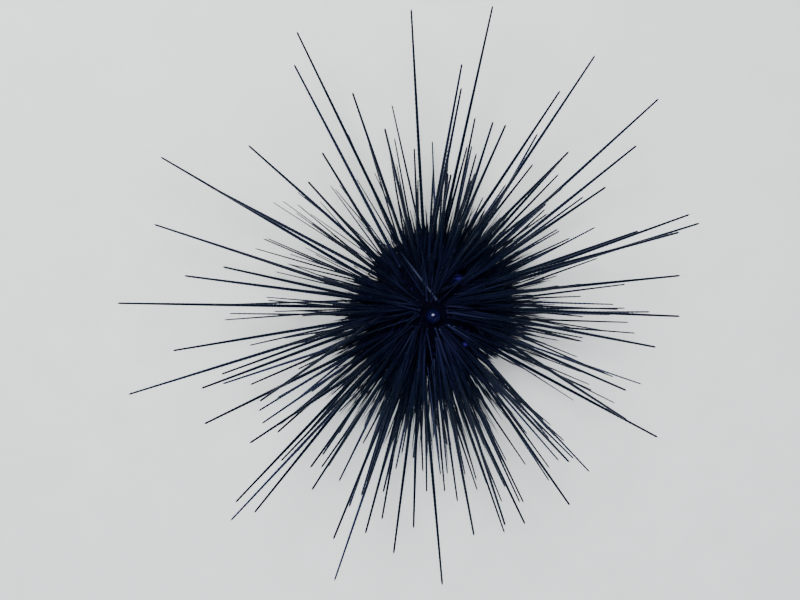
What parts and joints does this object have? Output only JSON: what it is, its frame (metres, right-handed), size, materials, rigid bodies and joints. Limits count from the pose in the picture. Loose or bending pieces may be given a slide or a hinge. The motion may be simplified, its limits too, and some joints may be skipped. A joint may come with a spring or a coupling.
{
  "type": "long-spined sea urchin",
  "caption": "Life-size black sea urchin with very long, thin spines, a blue anal cone on its crown, resting on the tips of its oral spines.",
  "frame": {"origin": "on the floor, under the middle of the spines' spread", "axes": "+Z up along the animal's axis from mouth to crown; +X to the right and +Y up in the picture, seen from above"},
  "size_m": [0.2717, 0.2741, 0.1638],
  "materials": {
    "test_and_spines": "thin black skin over calcite, satin, with a faint blue sheen along the spines",
    "apical_disc": "dark purple-black skin over small plates",
    "anal_cone": "moist, thin blue-violet membrane with a pale spot",
    "peristome": "soft dark membrane",
    "teeth": "polished off-white calcite"
  },
  "bodies": {
    "root": {"interambulacrum_1": "test_and_spines", "interambulacrum_2": "test_and_spines", "interambulacrum_3": "test_and_spines", "interambulacrum_4": "test_and_spines", "interambulacrum_5": "test_and_spines", "ambulacrum_1": "test_and_spines", "ambulacrum_2": "test_and_spines", "ambulacrum_3": "test_and_spines", "ambulacrum_4": "test_and_spines", "ambulacrum_5": "test_and_spines", "apical_disc": "apical_disc", "anal_cone": "anal_cone", "peristome": "peristome", "teeth": "teeth"}
  },
  "joints": []
}
